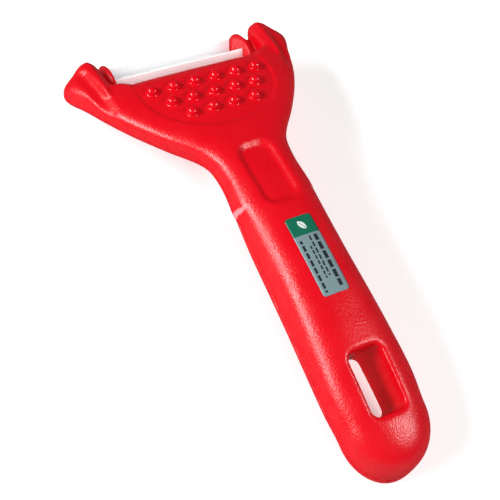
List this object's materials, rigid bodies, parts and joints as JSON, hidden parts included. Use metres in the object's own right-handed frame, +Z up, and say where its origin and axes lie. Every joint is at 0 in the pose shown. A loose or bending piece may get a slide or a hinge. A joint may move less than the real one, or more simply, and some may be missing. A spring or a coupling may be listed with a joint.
{
  "type": "y-shaped swivel peeler",
  "caption": "Hand-held Y-shaped peeler with a hollow moulded grip, a splayed head and a swivelling steel channel blade held between lugs.",
  "frame": {"origin": "under the middle of the bounding box, on the surface the peeler rests on", "axes": "+Y along the handle from its end towards the blade, +Z up out of the label face, X along the blade"},
  "size_m": [0.0758, 0.1499, 0.0287],
  "materials": {
    "frame_plastic": "spark-eroded satin polypropylene, bumps a little glossier",
    "cover_plastic": "spark-eroded satin polypropylene",
    "blade_steel": "polished stainless strip, ground at the slot",
    "pin_steel": "drawn stainless wire",
    "label_film": "printed and laminated film"
  },
  "bodies": {
    "frame": {"handle_frame": "frame_plastic", "back_cover": "cover_plastic", "label": "label_film"},
    "blade": {"blade": "blade_steel", "pivot_pin_left": "pin_steel", "pivot_pin_right": "pin_steel"}
  },
  "joints": [
    {"name": "blade_swing", "type": "hinge", "parent": "frame", "child": "blade", "pos_m": [0, 0.0668, 0.0082], "axis": [1, 0, 0], "range_deg": [-30, 30]}
  ]
}
